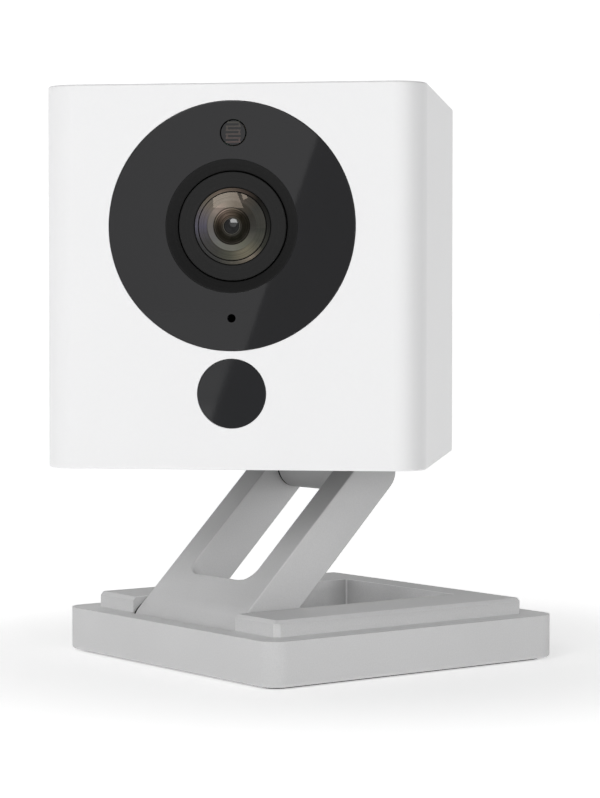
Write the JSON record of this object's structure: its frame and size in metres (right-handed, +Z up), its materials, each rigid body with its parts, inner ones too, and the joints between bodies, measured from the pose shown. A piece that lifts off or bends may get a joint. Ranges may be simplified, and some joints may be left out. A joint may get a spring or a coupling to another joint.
{
  "type": "security camera",
  "caption": "Small cube security camera with a round lens bezel and a motion window, on a fold-out square stand; the arm folds, and the head tilts and turns.",
  "frame": {"origin": "centre of the base's underside, on the surface that the camera stands on", "axes": "+Z up, +X along the fold hinge, +Y from the base's hinge side to its back; the head's front faces +X-Y at 45 degrees, as it stands"},
  "size_m": [0.0674, 0.0674, 0.0782],
  "materials": {
    "white_plastic": "satin white moulded plastic",
    "grey_plastic": "fine matte light grey moulded plastic",
    "dark_plastic": "matte black",
    "black_gloss": "gloss black",
    "pir_black": "semi-gloss black",
    "rubber": "soft matte",
    "steel": "plated",
    "brass": "machined",
    "copper": "enamelled winding",
    "aluminium": "anodised",
    "lens_glass": "coated",
    "clear_window": "smoked",
    "board": "solder mask",
    "light_sensor": "ceramic with a serpentine track",
    "led": "clear resin",
    "flex": "polyimide",
    "button": "satin"
  },
  "bodies": {
    "base": {"base_shell": "grey_plastic", "base_cover": "dark_plastic", "foot_pad": "rubber", "base_magnets": "steel", "base_screws": "steel", "fold_pin": "steel", "fold_pin_saddles": "grey_plastic", "fold_washers": "dark_plastic"},
    "arm": {"arm_frame": "grey_plastic", "tilt_bushings": "brass"},
    "swivel": {"swivel_knuckle": "grey_plastic", "tilt_pin": "steel", "wave_washer": "steel", "swivel_retainer": "steel", "swivel_screw": "steel"},
    "head": {"head_shell": "white_plastic", "rear_cover": "white_plastic", "bottom_cover": "white_plastic", "case_screws": "steel", "front_bezel": "black_gloss", "lens_hood": "dark_plastic", "lens_barrel": "dark_plastic", "front_lens": "lens_glass", "inner_lens": "lens_glass", "rear_lens": "lens_glass", "lens_holder": "dark_plastic", "ir_cut_coil": "copper", "image_sensor": "black_gloss", "sensor_board": "board", "board_standoffs": "brass", "sensor_flex": "flex", "ir_led_board": "board", "ir_leds": "led", "sensor_window": "clear_window", "light_sensor": "light_sensor", "microphone": "steel", "pir_window": "pir_black", "pir_sensor": "steel", "pir_board": "board", "main_board": "board", "shield_can": "steel", "heat_sink": "aluminium", "board_screws": "steel", "wifi_antenna": "dark_plastic", "speaker": "dark_plastic", "usb_board": "board", "usb_a_port": "steel", "micro_usb_port": "steel", "status_led": "led", "light_pipe": "clear_window", "button_switch": "dark_plastic", "switch_board": "board", "microsd_socket": "steel", "card_board": "board"},
    "setup_button": {"setup_button": "button"},
    "ir_cut_filter": {"ir_cut_filter": "lens_glass"}
  },
  "joints": [
    {"name": "arm_fold", "type": "hinge", "parent": "base", "child": "arm", "pos_m": [0, -0.01864, 0.0048], "axis": [1, 0, 0], "range_deg": [-25, 45]},
    {"name": "head_tilt", "type": "hinge", "parent": "arm", "child": "swivel", "pos_m": [0, 0.00314, 0.02658], "axis": [-1, 0, 0], "range_deg": [-30, 45]},
    {"name": "head_pan", "type": "hinge", "parent": "swivel", "child": "head", "pos_m": [0, -0.00802, 0.02658], "axis": [0, 0, 1], "continuous": true},
    {"name": "button_press", "type": "slide", "parent": "head", "child": "setup_button", "axis": [0, 0, 1], "range_m": [0, 0.0005], "stiffness_N_per_m": 800, "springref_m": -0.0005},
    {"name": "ir_cut_slide", "type": "slide", "parent": "head", "child": "ir_cut_filter", "axis": [0.7071, 0.7071, 0], "range_m": [0, 0.0045]}
  ]
}
